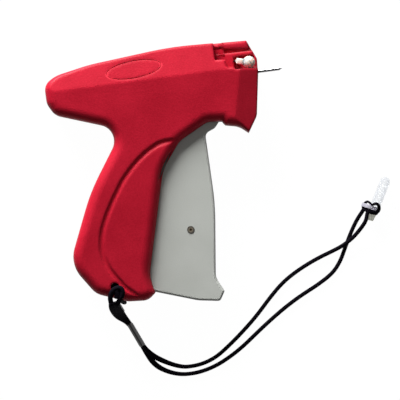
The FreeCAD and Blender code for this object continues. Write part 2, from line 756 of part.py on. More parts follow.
def make_lever():
    """The bell crank that turns the trigger's short pull into the slide's long one."""
    body = new_body("drive_lever")
    hub_half = S.trigger_half - S.trigger_wall - S.side_gap
    half = S.lever_half
    plate(body, link_edges(LEVER_PIVOT, LEVER_TIP, S.lever_hub_radius, S.lever_tip_radius),
          -half, half)
    plate(body, link_edges(LEVER_PIVOT, LEVER_FOOT, S.lever_hub_radius, S.lever_hub_radius),
          -half, half)
    bar_z(body, LEVER_PIVOT, "Sizes.lever_collar_radius", -hub_half, hub_half)
    bar_z(body, LEVER_PIVOT, "Sizes.pivot_radius + Sizes.running_play",
          -S.half_thickness, S.half_thickness, cut=True)
    for centre in (LEVER_TIP, LEVER_FOOT):
        bar_z(body, centre, "Sizes.pin_radius + Sizes.seat_play",
              -S.half_thickness, S.half_thickness, cut=True)
    return body


def make_slide():
    """The slide block with its upright slot, its lever channel and its nose."""
    body = new_body("slide_block")
    x0, x1 = LEVER_TIP.x - S.slide_length / 2, LEVER_TIP.x + S.slide_length / 2
    half = S.slide_half
    plate(body, box_edges(x0, x1, -S.slide_bottom, S.slide_top), -half, half)
    nose = S.nose_block_half
    plate(body, box_edges(x1 - S.wall, SLIDE_FRONT_X, -nose, nose), -nose, nose)
    tip_top = LEVER_TIP.y + S.lever_tip_radius + S.side_gap
    channel_x = LEVER_TIP.x + S.lever_tip_radius + 2 * S.slide_slot_play
    channel = S.lever_half + S.side_gap
    plate(body, box_edges(x0 - S.overrun, channel_x, -S.slide_bottom - S.overrun, tip_top),
          -channel, channel, cut=True)
    reach = S.pin_radius + S.slide_slot_play
    plate(body, box_edges(LEVER_TIP.x - reach, LEVER_TIP.x + reach,
                          LEVER_LOW_Y - reach, LEVER_TIP.y + reach),
          -half - S.overrun, half + S.overrun, cut=True)
    bar_x(body, "Sizes.rod_radius + Sizes.seat_play", channel_x - S.side_gap,
          SLIDE_FRONT_X + S.overrun, cut=True)
    return body


def make_rod():
    """The push rod that drives a tag's bar through the needle."""
    body = new_body("push_rod")
    bar_x(body, "Sizes.rod_radius", SLIDE_FRONT_X - S.nose_block_length - S.wall,
          NOSE_X - S.rod_rest_back)
    return body


def make_needle():
    """The hollow needle with its thicker shank, its slit and its slanted tip."""
    body = new_body("needle")
    tip_x = NOSE_X + S.needle_reach
    step_x = NOSE_X + S.needle_step
    bar_x(body, "Sizes.needle_shank_radius", SLOT_FRONT_X + S.side_gap, step_x)
    bar_x(body, "Sizes.needle_radius", step_x, tip_x)
    bar_x(body, "Sizes.needle_bore", SLOT_FRONT_X - S.overrun, tip_x + S.overrun, cut=True)
    half = S.needle_slit / 2
    plate(body, box_edges(SLOT_FRONT_X - S.overrun, tip_x + S.overrun, -half, half),
          0, S.needle_shank_radius + S.overrun, cut=True)
    r = S.needle_radius
    bevel = polygon(
        Vector(tip_x - S.needle_bevel, -r - S.side_gap, 0),
        Vector(tip_x + S.side_gap, r - S.side_gap, 0),
        Vector(tip_x + S.overrun, -r - S.side_gap, 0),
    )
    plate(body, bevel, -S.overrun, S.overrun, cut=True)
    return body


def make_hub():
    """The needle's moulded hub, with the flat that the lock's cam holds."""
    body = new_body("needle_hub")
    bar_x(body, "Sizes.hub_radius", HUB_BACK_X + S.seat_play, HUB_FRONT_X - S.seat_play)
    bar_x(body, "Sizes.needle_shank_radius + Sizes.seat_play", HUB_BACK_X - S.overrun,
          HUB_FRONT_X + S.overrun, cut=True)
    plate(body, box_edges(LOCK_PIVOT.x - S.cam_half - S.side_gap,
                          LOCK_PIVOT.x + S.cam_half + S.side_gap,
                          S.hub_radius - S.side_gap, S.hub_radius + S.overrun),
          -S.hub_radius - S.overrun, S.hub_radius + S.overrun, cut=True)
    return body


def make_knife():
    """The small blade that cuts each tag from its clip."""
    body = new_body("knife")
    plate(body, knife_edges(0), KNIFE_BACK_Z, KNIFE_BACK_Z + S.knife_thick)
    r = S.needle_radius
    edge_x = SLOT_FRONT_X - S.side_gap
    notch = polygon(
        Vector(edge_x - S.overrun, -r - S.overrun, 0),
        Vector(edge_x + S.knife_thick, -r, 0),
        Vector(edge_x - S.overrun, r, 0),
    )
    plate(body, notch, KNIFE_BACK_Z - S.overrun, KNIFE_BACK_Z + S.overrun, cut=True)
    return body


def make_lock():
    """The white ball lever that holds the needle's hub."""
    body = new_body("needle_lock")
    low = S.lock_floor + S.side_gap
    stem_z = S.ball_height - S.stem_thick / 2
    boss = S.stem_height / 2
    plate(body, link_edges(LOCK_PIVOT, BALL_CENTRE, boss, boss), stem_z, stem_z + S.stem_thick)
    bar_z(body, LOCK_PIVOT, "Sizes.stem_height / 2", low, stem_z)
    cam_y = S.hub_radius + 2 * S.side_gap
    plate(body, box_edges(LOCK_PIVOT.x - S.cam_half, LOCK_PIVOT.x + S.cam_half,
                          cam_y, LOCK_PIVOT.y), low, low + S.cam_thick)
    ball = body.newObject("PartDesign::AdditiveSphere", "Ball")
    origin = next(o for o in body.Origin.OriginFeatures if o.Role == "XY_Plane")
    ball.AttachmentSupport = (origin, [""])
    ball.MapMode = "FlatFace"
    ball.AttachmentOffset = FreeCAD.Placement(
        BALL_CENTRE + Vector(0, 0, S.ball_height), FreeCAD.Rotation()
    )
    ball.setExpression("Radius", "Sizes.ball_radius")
    doc.recompute()
    body.Tip = ball
    bar_z(body, LOCK_PIVOT, "Sizes.lock_pin_radius + Sizes.running_play",
          S.lock_floor, S.lock_pin_top + S.side_gap, cut=True)
    return body


def make_lock_pin():
    """The short pin that the lock lever turns on."""
    body = new_body("lock_pin")
    bar_z(body, LOCK_PIVOT, "Sizes.lock_pin_radius", S.lock_floor - S.lock_pin_seat,
          S.lock_pin_top)
    return body


def make_wheel():
    """The star wheel that moves the clip of tags down by one."""
    body = new_body("feed_wheel")
    teeth = int(S.wheel_teeth)
    step = 360 / teeth
    ring = []
    for tooth in range(teeth):
        middle = 90 + tooth * step
        for share, radius in (
            (-WHEEL_ROOT_SHARE, S.wheel_root), (-WHEEL_TIP_SHARE, S.wheel_radius),
            (WHEEL_TIP_SHARE, S.wheel_radius), (WHEEL_ROOT_SHARE, S.wheel_root),
        ):
            ring.append(polar(WHEEL_CENTRE, radius, middle + share * step))
    plate(body, polygon(*ring), -S.wheel_half, S.wheel_half)
    bar_z(body, WHEEL_CENTRE, "Sizes.wheel_axle + Sizes.running_play",
          -S.wheel_half - S.overrun, S.wheel_half + S.overrun, cut=True)
    return body


def make_pawl():
    """The leaf spring that clicks into the wheel and stops it from turning back."""
    body = new_body("feed_pawl")
    tip = polar(WHEEL_CENTRE, (S.wheel_root + S.wheel_radius) / 2, -PAWL_ANGLE)
    bend_x = at(CAVITY_FRONT_SHARES[0][0], 0).x - S.wall
    back_x = bend_x - S.slide_length
    plate(body, box_edges(back_x, bend_x, LEAF_Y, LEAF_Y + S.leaf_thick), -S.leaf_half, S.leaf_half)
    finger = polygon(
        Vector(bend_x - S.leaf_thick, LEAF_Y, 0),
        tip,
        tip + Vector(S.leaf_thick, S.leaf_thick, 0) * 0.7,
        Vector(bend_x, LEAF_Y + S.leaf_thick, 0),
    )
    plate(body, finger, -S.wheel_half, S.wheel_half)
    return body


def make_spring():
    """The torsion spring round the lever's hub: a wound sleeve and two straight legs."""
    body = new_body("return_spring")
    low = S.lever_half + S.side_gap
    high = S.trigger_half - S.trigger_wall - S.side_gap
    wire = S.spring_wire / 2
    leg = wire - S.strand_play
    bar_z(body, LEVER_PIVOT, "Sizes.spring_radius + Sizes.spring_wire / 2", low, high)
    bar_z(body, LEVER_PIVOT, "Sizes.spring_radius - Sizes.spring_wire / 2",
          low - S.overrun, high + S.overrun, cut=True)
    arm = (LEVER_TIP - LEVER_PIVOT).normalize()
    across = Vector(arm.y, -arm.x, 0)
    arm_half = S.lever_hub_radius + wire
    hook = LEVER_PIVOT + arm * SPRING_LEG_SHARE * S.upper_arm + across * arm_half
    start = LEVER_PIVOT + across * S.spring_radius
    plate(body, link_edges(start, hook, leg, leg), low, low + S.spring_wire)
    bar_z(body, hook, "Sizes.spring_wire / 2", low + wire, -S.lever_half)
    rest = at(*SPRING_REST_SHARES)
    anchor = LEVER_PIVOT - across * S.spring_radius
    plate(body, link_edges(anchor, rest, leg, leg), high - S.spring_wire - leg, high - leg)
    return body


def make_screws():
    """Five equal self-tapping screws, driven from the left side."""
    body = new_body("shell_screws")
    body.AllowCompound = True
    for shares in SCREW_SHARES:
        centre = at(*shares)
        seat = -S.screw_reach
        bar_z(body, centre, "Sizes.screw_radius", seat, S.screw_reach)
        bar_z(body, centre, "Sizes.screw_head_radius", seat, seat - S.screw_head_height)
    return body


def strap_place(x_share, y_share, z_share=0):
    """A place on the strap's route."""
    return Vector(x_share, y_share, z_share) * S.strap_span


def coded(name, shape):
    """A part whose solid is made here, in the gun's own frame."""
    item = doc.addObject("Part::Feature", name)
    item.Shape = shape
    item.Label = name
    return item


def make_tube(name, shares, radius):
    """A free stretch of the strap as a round tube, with its radii and volume printed."""
    points = [strap_place(*share) for share in shares]
    solid, tightest, length = tube_solid(points, radius)
    plain = math.pi * radius * radius * length
    print(f"{name}: length {length:.1f}, smallest radius {tightest:.1f}, "
          f"volume {solid.Volume:.1f} of {plain:.1f}")
    return coded(name, solid)


def turned(shape, place, degrees):
    """A shape made along X, turned about Z and moved to a place."""
    moved = shape.copy()
    moved.Placement = FreeCAD.Placement(place, FreeCAD.Rotation(Vector(0, 0, 1), degrees))
    return moved


def make_knot():
    """The strap's knot on the right side and its stem through the eye."""
    top = 2 * S.half_thickness
    base = Vector(STRAP_EYE.x, STRAP_EYE.y, top + S.strand_play)
    head = Part.makeCylinder(S.knot_radius, S.knot_height, base)
    head = head.makeFillet(S.knot_height / 3, head.Edges)
    stem_foot = Vector(STRAP_EYE.x, STRAP_EYE.y, top / 4)
    stem = Part.makeCylinder(S.eye_radius - S.strand_play, base.z + S.knot_height / 2 - stem_foot.z,
                             stem_foot)
    return coded("strap_knot", head.fuse(stem).removeSplitter())


def make_crimp():
    """The metal sleeve, closed at the tab's end and open for the two strands."""
    width, height, sheet_gap = S.crimp_width, S.crimp_height, S.crimp_sheet
    sleeve = Part.makeBox(S.crimp_length, width, height, Vector(0, -width / 2, -height / 2))
    sleeve = sleeve.makeFillet(
        0.45 * width, [e for e in sleeve.Edges if abs(e.tangentAt(e.FirstParameter).x) > 0.9]
    )
    inner_width, inner_height = width - 2 * sheet_gap, height - 2 * sheet_gap
    start = S.crimp_length / 2
    bore = Part.makeBox(S.crimp_length, inner_width, inner_height,
                        Vector(start, -inner_width / 2, -inner_height / 2))
    bore = bore.makeFillet(
        0.4 * inner_width, [e for e in bore.Edges if abs(e.tangentAt(e.FirstParameter).x) > 0.9]
    )
    place = strap_place(*CRIMP_SHARES, UPPER_STRAND_SHARES[0][2] / 2 + LOWER_STRAND_SHARES[0][2] / 2)
    return coded("strap_crimp", turned(sleeve.cut(bore), place, CRIMP_TURN))


def make_cap():
    """The needle's cap: a closed tube, a flange and an open neck, lying on its side."""
    tube_end = S.cap_flange / 2 + S.cap_length
    profile = [
        Vector(-S.cap_flange / 2 - S.cap_neck, 0, 0),
        Vector(-S.cap_flange / 2 - S.cap_neck, S.cap_neck_radius, 0),
        Vector(-S.cap_flange / 2, S.cap_neck_radius, 0),
        Vector(-S.cap_flange / 2, S.cap_flange_radius, 0),
        Vector(S.cap_flange / 2, S.cap_flange_radius, 0),
        Vector(S.cap_flange / 2, S.cap_radius, 0),
        Vector(tube_end - S.cap_tip_round, S.cap_tip_radius, 0),
        Vector(tube_end, S.cap_tip_radius - S.cap_tip_round, 0),
        Vector(tube_end, 0, 0),
    ]
    corner = profile[6] + (profile[7] - profile[6]) / 2
    bulge = S.cap_tip_round * (math.sqrt(0.5) - 0.5)
    bent = corner + Vector(bulge, bulge, 0)
    edges = [Part.LineSegment(a, b).toShape() for a, b in zip(profile[:6], profile[1:7])]
    edges.append(Part.Arc(profile[6], bent, profile[7]).toShape())
    edges.append(Part.LineSegment(profile[7], profile[8]).toShape())
    edges.append(Part.LineSegment(profile[8], profile[0]).toShape())
    solid = Part.Face(Part.Wire(edges)).revolve(Vector(), Vector(1, 0, 0), 360)
    mouth = Vector(-S.cap_flange / 2 - S.cap_neck - S.overrun, 0, 0)
    bore = Part.makeCylinder(S.cap_bore, S.overrun + S.cap_neck + S.needle_reach, mouth,
                             Vector(1, 0, 0))
    place = strap_place(*FLANGE_SHARES) + Vector(0, 0, S.cap_height)
    return coded("needle_cap", turned(solid.cut(bore), place, CAP_TURN))


def make_hitch():
    """The strap's loop round the cap's neck."""
    ring = Part.makeTorus(S.hitch_radius, S.strand_radius, Vector(), Vector(1, 0, 0))
    back = S.cap_flange / 2 + S.strand_radius + S.strand_play
    place = strap_place(*FLANGE_SHARES) + Vector(0, 0, S.cap_height)
    axis = FreeCAD.Rotation(Vector(0, 0, 1), CAP_TURN).multVec(Vector(1, 0, 0))
    return coded("strap_hitch", turned(ring, place - axis * back, CAP_TURN))


def finished():
    """Every part of the gun, by name."""
    parts = {
        "right_shell": make_shell("right_shell", 1),
        "left_shell": make_shell("left_shell", -1),
        "shell_screws": make_screws(),
        "trigger": make_trigger(),
        "trigger_pivot_pin": make_pin(
            "trigger_pivot_pin", TRIGGER_PIVOT, "Sizes.pivot_radius", S.grip_core_depth
        ),
        "trigger_link_pin": make_link_pin(),
        "drive_links": make_links(),
        "drive_lever": make_lever(),
        "lever_pivot_pin": make_pin(
            "lever_pivot_pin", LEVER_PIVOT, "Sizes.pivot_radius", S.grip_core_depth
        ),
        "link_lever_pin": make_pin(
            "link_lever_pin", LEVER_FOOT, "Sizes.pin_radius", S.foot_pin_half
        ),
        "slide_pin": make_pin("slide_pin", LEVER_TIP, "Sizes.pin_radius", S.slide_half),
        "slide_block": make_slide(),
        "push_rod": make_rod(),
        "return_spring": make_spring(),
        "feed_wheel": make_wheel(),
        "feed_wheel_shaft": make_pin(
            "feed_wheel_shaft", WHEEL_CENTRE, "Sizes.wheel_axle", S.wheel_axle_half
        ),
        "feed_pawl": make_pawl(),
        "knife": make_knife(),
        "needle": make_needle(),
        "needle_hub": make_hub(),
        "needle_lock": make_lock(),
        "lock_pin": make_lock_pin(),
        "strap_knot": make_knot(),
        "strap_tab": make_tube("strap_tab", TAB_SHARES, S.tab_radius),
        "strap_crimp": make_crimp(),
        "strap_strand_upper": make_tube(
            "strap_strand_upper", UPPER_STRAND_SHARES, S.strand_radius
        ),
        "strap_strand_lower": make_tube(
            "strap_strand_lower", LOWER_STRAND_SHARES, S.strand_radius
        ),
        "strap_hitch": make_hitch(),
        "needle_cap": make_cap(),
    }
    return parts


def write_parts(parts):
    """Checks every part and writes it to its own file."""
    doc.recompute()
    for item in doc.Objects:
        if "Invalid" in item.State or "Error" in item.State:
            raise RuntimeError(f"{item.Label}: {item.State}")
    os.makedirs("parts", exist_ok=True)
    for name, item in parts.items():
        shape = item.Shape
        if shape.isNull() or not shape.isValid() or not shape.Solids:
            raise RuntimeError(f"{name}: the shape is not a valid solid")
        print(f"{name}: {len(shape.Solids)} solid(s), {shape.Volume:.1f} mm3")
        shape.exportStep(f"parts/{name}.step")


write_parts(finished())
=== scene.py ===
import bpy
import bmesh
import math
from mathutils import Matrix, Vector


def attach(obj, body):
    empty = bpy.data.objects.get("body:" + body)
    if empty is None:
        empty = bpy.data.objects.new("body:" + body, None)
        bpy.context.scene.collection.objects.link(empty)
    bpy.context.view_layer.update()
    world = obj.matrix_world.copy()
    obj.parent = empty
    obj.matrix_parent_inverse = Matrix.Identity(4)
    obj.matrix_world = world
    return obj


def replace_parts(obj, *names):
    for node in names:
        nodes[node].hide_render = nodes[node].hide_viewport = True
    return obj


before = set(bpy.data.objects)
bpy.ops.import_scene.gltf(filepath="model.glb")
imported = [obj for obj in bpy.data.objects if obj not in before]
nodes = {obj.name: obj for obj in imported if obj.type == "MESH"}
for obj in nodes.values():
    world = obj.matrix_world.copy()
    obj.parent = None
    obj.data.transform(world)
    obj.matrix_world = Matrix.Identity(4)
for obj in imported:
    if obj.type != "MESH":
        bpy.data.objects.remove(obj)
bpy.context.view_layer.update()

MM = 0.001

# Angles past which an edge is sharp, in degrees: on the CAD pieces and on those made here.
CAD_ANGLE = 30
PIECE_ANGLE = 40

# Places that a pattern follows, in metres and radians.
HEAD_SLOPE = math.radians(13.5)
BADGE_CENTRE = (-0.01354, 0.0106, 0)
BADGE_TURN = math.radians(3.5)
BADGE_HALF_SIZE = (0.0165, 0.0053 * math.cos(HEAD_SLOPE), 1.0)
RIVET_CENTRE = (0.00769, -0.0888)
RIVET_REACH = 0.0022

# The metal sleeve on the strap, in millimetres.
SLEEVE_CENTRE = Vector((-33.2, -147.45, 3.05))
SLEEVE_SIZE = (15.6, 3.6, 5.9)
SLEEVE_TURN = math.radians(-67.0)
SLEEVE_RAMP_HALF = 1.75


# Materials. Every pattern reads Object coordinates.
def feed(tree, node, inputs):
    """Gives a node's inputs their values, or links them to the sockets given."""
    for key, value in inputs.items():
        if isinstance(value, bpy.types.NodeSocket):
            tree.links.new(value, node.inputs[key])
        else:
            node.inputs[key].default_value = value


def add(tree, kind, inputs=None, **settings):
    """A new node with its settings and inputs."""
    node = tree.nodes.new(kind)
    for name, value in settings.items():
        setattr(node, name, value)
    feed(tree, node, inputs or {})
    return node


def object_place(tree):
    """The piece's own coordinates."""
    return add(tree, "ShaderNodeTexCoord").outputs["Object"]


def noise(tree, vector, scale, **inputs):
    """The value of a noise texture."""
    named = {"Vector": vector, "Scale": scale, **inputs}
    return add(tree, "ShaderNodeTexNoise", named).outputs["Fac"]


def ramp(tree, value, stops):
    """A value turned into a colour by (place, colour) stops."""
    node = add(tree, "ShaderNodeValToRGB", {"Fac": value})
    elements = node.color_ramp.elements
    for element, (place, colour) in zip((elements[0], elements[1]), (stops[0], stops[-1])):
        element.position = place
        element.color = (*colour, 1)
    for place, colour in stops[1:-1]:
        elements.new(place).color = (*colour, 1)
    return node.outputs["Color"]


def bump(tree, height, strength, distance, inputs=None, **settings):
    """A normal from a height."""
    named = {"Height": height, "Strength": strength, "Distance": distance, **(inputs or {})}
    return add(tree, "ShaderNodeBump", named, **settings).outputs["Normal"]


def mix_colour(tree, share, first, second, **settings):
    """Two colours mixed."""
    named = {"Fac": share, "Color1": first, "Color2": second}
    return add(tree, "ShaderNodeMixRGB", named, **settings).outputs["Color"]


def make_grain_group():
    """Moulding grain: a fine height, and a mask that also varies broadly."""
    group = bpy.data.node_groups.new("MouldGrain", "ShaderNodeTree")
    for label, value in (("Scale", 2200.0), ("Broad Scale", 45.0)):
        socket = group.interface.new_socket(
            label, in_out="INPUT", socket_type="NodeSocketFloat"
        )
        socket.default_value = value
    for label in ("Height", "Mask"):
        group.interface.new_socket(label, in_out="OUTPUT", socket_type="NodeSocketFloat")
    start = group.nodes.new("NodeGroupInput")
    end = group.nodes.new("NodeGroupOutput")
    where = object_place(group)
    fine = noise(group, where, start.outputs["Scale"], Detail=4.0, Roughness=0.6)
    broad = noise(group, where, start.outputs["Broad Scale"], Detail=3.0)
    half_broad = add(group, "ShaderNodeMath", {0: broad, 1: 0.5}, operation="MULTIPLY")
    mask = add(
        group, "ShaderNodeMath", {0: fine, 1: 0.5, 2: half_broad.outputs[0]},
        operation="MULTIPLY_ADD",
    )
    feed(group, end, {"Height": fine, "Mask": mask.outputs[0]})
    return group


GRAIN = make_grain_group()


def base_material(name, rough, metallic=0.0):
    """A material with a Principled shader; the caller links the rest."""
    material = bpy.data.materials.new(name)
    material.use_nodes = True
    tree = material.node_tree
    shader = tree.nodes["Principled BSDF"]
    feed(tree, shader, {"Roughness": rough, "Metallic": metallic})
    return material, tree, shader


def add_grain(tree, shader, scale, depth, low, high, soft=0.0):
    """Grain as a bump, on softened edges where soft is their radius, and as slight colour."""
    grain = add(tree, "ShaderNodeGroup", node_tree=GRAIN)
    feed(tree, grain, {"Scale": scale})
    edge = {}
    if soft:
        bevel = add(tree, "ShaderNodeBevel", {"Radius": soft}, samples=8)
        edge["Normal"] = bevel.outputs["Normal"]
    normal = bump(tree, grain.outputs["Height"], depth, 0.00012, edge)
    colour = ramp(tree, grain.outputs["Mask"], [(0.35, low), (0.65, high)])
    feed(tree, shader, {"Normal": normal, "Base Color": colour})


def plastic(name, low, high, rough, scale=2200, depth=0.12, specular=0.5, soft=0.0):
    """Moulded plastic with grain."""
    material, tree, shader = base_material(name, rough)
    feed(tree, shader, {"Specular IOR Level": specular})
    add_grain(tree, shader, scale, depth, low, high, soft)
    return material


def plated(name, low, high, rough):
    """Plated metal with a fine, even grain."""
    material, tree, shader = base_material(name, rough, 1.0)
    add_grain(tree, shader, 900, 0.06, low, high)
    return material


def brushed(name, low, high, rough, stretch):
    """Metal with fine lines along one axis."""
    material, tree, shader = base_material(name, rough, 1.0)
    place = add(tree, "ShaderNodeMapping", {"Vector": object_place(tree), "Scale": stretch})
    lines = noise(tree, place.outputs["Vector"], 1.0, Detail=5.0)
    feed(tree, shader, {
        "Base Color": ramp(tree, lines, [(0.3, low), (0.7, high)]),
        "Normal": bump(tree, lines, 0.15, 0.00005),
    })
    return material


def painted_light_oval(material):
    """Lifts the colour in the badge's fine oval line as painted light against the shade in its
    groove, the line found by its place on the head.
    """
    tree = material.node_tree
    shader = tree.nodes["Principled BSDF"]
    red = shader.inputs["Base Color"].links[0].from_socket
    place = add(
        tree, "ShaderNodeMapping",
        {"Vector": object_place(tree), "Location": BADGE_CENTRE,
         "Rotation": (0, 0, BADGE_TURN), "Scale": BADGE_HALF_SIZE},
        vector_type="TEXTURE",
    )
    flat = add(
        tree, "ShaderNodeVectorMath", {0: place.outputs["Vector"], 1: (1, 1, 0)},
        operation="MULTIPLY",
    )
    reach = add(tree, "ShaderNodeVectorMath", {0: flat.outputs["Vector"]}, operation="LENGTH")
    past = add(tree, "ShaderNodeMath", {0: reach.outputs["Value"], 1: 1.0}, operation="SUBTRACT")
    off = add(tree, "ShaderNodeMath", {0: past.outputs[0]}, operation="ABSOLUTE")
    line = add(tree, "ShaderNodeMapRange", {
        "Value": off.outputs[0], "From Min": 0.035, "From Max": 0.075, "To Min": 1.0,
        "To Max": 0.0,
    })
    # Painted light: a lighter red in the oval's groove, where the groove's own shade falls.
    pale = (0.60, 0.022, 0.045, 1)
    feed(tree, shader, {"Base Color": mix_colour(tree, line.outputs["Result"], red, pale)})


def cord_material():
    """Near-black cord with a fine weave."""
    material, tree, shader = base_material("StrapCord", 0.85)
    weave = add(
        tree, "ShaderNodeTexVoronoi", {"Vector": object_place(tree), "Scale": 1600.0}
    ).outputs["Distance"]
    threads = [(0.0, (0.006, 0.004, 0.009)), (1.0, (0.0012, 0.0008, 0.002))]
    feed(tree, shader, {
        "Specular IOR Level": 0.06,
        "Base Color": ramp(tree, weave, threads),
        "Normal": bump(tree, weave, 0.5, 0.0002, invert=True),
    })
    return material


def cap_material(name, low, high, edge, clear):
    """Translucent plastic, a little greyer where it is seen edge-on, as painted shade."""
    material, tree, shader = base_material(name, 0.22)
    feed(tree, shader, {"Transmission Weight": clear, "IOR": 1.03})
    add_grain(tree, shader, 800, 0.05, low, high)
    colour = shader.inputs["Base Color"].links[0].from_socket
    # Painted shade: the edge colour darkens the faces seen edge-on.
    edge_on_shade = add(tree, "ShaderNodeLayerWeight", {"Blend": 0.45}).outputs["Facing"]
    feed(tree, shader, {"Base Color": mix_colour(tree, edge_on_shade, colour, (*edge, 1))})
    return material


def crimp_material():
    """A dark rolled sleeve: brushed along its length, darker along its middle, with painted
    highlight bands near both sides, and its greys raised as painted light against the shadow it
    lies in.
    """
    material, tree, shader = base_material("CrimpMetal", 0.5, 0.25)
    place = add(
        tree, "ShaderNodeMapping",
        {"Vector": object_place(tree),
         "Location": (SLEEVE_CENTRE.x * MM, SLEEVE_CENTRE.y * MM, 0),
         "Rotation": (0, 0, SLEEVE_TURN)},
        vector_type="TEXTURE",
    ).outputs["Vector"]
    axes = add(tree, "ShaderNodeSeparateXYZ", {"Vector": place})
    across = add(tree, "ShaderNodeMapRange", {
        "Value": axes.outputs["Y"], "From Min": -SLEEVE_RAMP_HALF * MM,
        "From Max": SLEEVE_RAMP_HALF * MM,
    })
    # Painted highlight: the two light bands across the sleeve; all the greys are also raised to
    # offset the shadow over it.
    greys = [(0.0, 0.34), (0.20, 0.80), (0.30, 0.20), (0.50, 0.16), (0.62, 0.66), (1.0, 0.48)]
    painted_highlight_bands = ramp(tree, across.outputs["Result"], [(at, (grey,) * 3) for at, grey in greys])
    stretch = add(tree, "ShaderNodeMapping", {"Vector": place, "Scale": (300, 5000, 5000)})
    lines = noise(tree, stretch.outputs["Vector"], 1.0, Detail=4.0)
    feed(tree, shader, {
        "Base Color": mix_colour(tree, 0.5, painted_highlight_bands, lines, blend_type="MULTIPLY"),
        "Normal": bump(tree, lines, 0.2, 0.00005),
    })
    return material


def rivet_material():
    """A flat-headed rivet: painted shade on its rim and in its dimple, a painted highlight ring
    between them, and worn mottling.
    """
    material, tree, shader = base_material("RivetWearAndPaintedShade", 0.45, 0.35)
    where = object_place(tree)
    place = add(tree, "ShaderNodeMapping", {
        "Vector": where, "Location": (-RIVET_CENTRE[0], -RIVET_CENTRE[1], 0),
        "Scale": (1, 1, 0),
    })
    length = add(
        tree, "ShaderNodeVectorMath", {0: place.outputs["Vector"]}, operation="LENGTH"
    )
    reach = add(
        tree, "ShaderNodeMapRange", {"Value": length.outputs["Value"], "From Max": RIVET_REACH}
    )
    # Painted shade at the dimple and the rim, painted highlight on the ring between.
    painted_shade_rings = [
        (0.20, (0.10, 0.065, 0.035)), (0.48, (0.27, 0.23, 0.17)),
        (0.66, (0.16, 0.14, 0.11)), (0.85, (0.10, 0.09, 0.075)),
    ]
    colour = ramp(tree, reach.outputs["Result"], painted_shade_rings)
    wear = noise(tree, where, 2500.0)
    feed(tree, shader, {
        "Base Color": mix_colour(tree, 0.4, colour, wear, blend_type="OVERLAY"),
    })
    return material


RED = plastic(
    "RedShell", (0.360, 0.004, 0.017), (0.490, 0.009, 0.028),
    rough=0.46, scale=1200, depth=0.85, specular=0.14, soft=0.0024,
)
painted_light_oval(RED)
# Painted shade: the cam's dark red stands for the shadow it lies in under the stem.
PAINTED_SHADE_RED = plastic(
    "RedCamPaintedShade", (0.11, 0.003, 0.006), (0.16, 0.004, 0.008),
    rough=0.5, scale=1500, depth=0.4, specular=0.2,
)
GREY = plastic(
    "GreyTrigger", (0.475, 0.49, 0.455), (0.525, 0.54, 0.505),
    rough=0.5, scale=1500, depth=0.25, specular=0.3,
)
WHITE = plastic(
    "WhiteLock", (0.50, 0.44, 0.40), (0.55, 0.49, 0.45),
    rough=0.45, scale=900, depth=0.05, specular=0.25,
)
feed(WHITE.node_tree, WHITE.node_tree.nodes["Principled BSDF"], {
    "Subsurface Weight": 1.0, "Subsurface Radius": (1.0, 0.75, 0.65),
    "Subsurface Scale": 0.009,
})
HUB = plastic("HubPlastic", (0.70, 0.68, 0.62), (0.78, 0.76, 0.70), rough=0.45)
BLACK = plastic("BlackPlastic", (0.012, 0.012, 0.013), (0.03, 0.03, 0.032), rough=0.4)
# Painted highlight: a light grey strip laid along the tab's right edge for its sheen.
PAINTED_TAB_HIGHLIGHT = plastic(
    "TabPaintedHighlight", (0.16, 0.16, 0.165), (0.5, 0.5, 0.5), rough=0.5, scale=500, depth=0.3
)
STEEL = brushed("Steel", (0.38, 0.38, 0.39), (0.6, 0.6, 0.61), 0.32, (400, 4000, 4000))
NEEDLE = brushed("NeedleSteel", (0.42, 0.42, 0.43), (0.7, 0.7, 0.7), 0.22, (200, 6000, 6000))
SPRING = brushed(
    "SpringSteel", (0.18, 0.18, 0.19), (0.35, 0.35, 0.36), 0.3, (3000, 3000, 300)
)
ZINC = plated("ZincScrew", (0.5, 0.5, 0.5), (0.72, 0.72, 0.7), 0.3)
CORD = cord_material()
CRIMP = crimp_material()
RIVET = rivet_material()
# Each edge colour is painted shade for the faces seen edge-on.
CAP = cap_material(
    "CapTube", (0.96, 0.97, 0.99), (0.98, 0.99, 1.0), edge=(0.74, 0.76, 0.80), clear=0.94
)
COLLAR = cap_material(
    "CapCollar", (0.56, 0.54, 0.62), (0.62, 0.60, 0.68), edge=(0.50, 0.49, 0.57), clear=0.45
)
# The neck keeps its own beige tone, raised as painted light to offset the shadow that falls on
# it.
NECK = cap_material(
    "CapNeckPaintedLight", (0.76, 0.76, 0.66), (0.84, 0.84, 0.74), edge=(0.62, 0.62, 0.54), clear=0.55
)

FINISH = {
    "right_shell": RED, "left_shell": RED, "trigger": GREY, "needle_lock": WHITE,
    "needle_hub": HUB, "slide_block": BLACK, "feed_wheel": BLACK,
    "shell_screws": ZINC, "trigger_link_pin": RIVET, "needle": NEEDLE,
    "drive_links": STEEL, "drive_lever": STEEL, "trigger_pivot_pin": STEEL,
    "lever_pivot_pin": STEEL, "link_lever_pin": STEEL, "slide_pin": STEEL,
    "push_rod": STEEL, "feed_wheel_shaft": STEEL, "lock_pin": STEEL, "knife": STEEL,
    "return_spring": SPRING, "feed_pawl": SPRING, "strap_crimp": CRIMP,
    "strap_knot": CORD, "strap_tab": CORD, "strap_strand_upper": CORD,
    "strap_strand_lower": CORD, "strap_hitch": CORD, "needle_cap": CAP,
}


def dress(obj, material, angle):
    """The material, and smooth faces with sharp edges past an angle."""
    obj.data.materials.clear()
    obj.data.materials.append(material)
    if obj.type == "MESH":
        obj.data.polygons.foreach_set("use_smooth", [True] * len(obj.data.polygons))
        obj.data.set_sharp_from_angle(angle=math.radians(angle))
        obj.data.update()


for name, obj in nodes.items():
    dress(obj, FINISH[name], CAD_ANGLE)


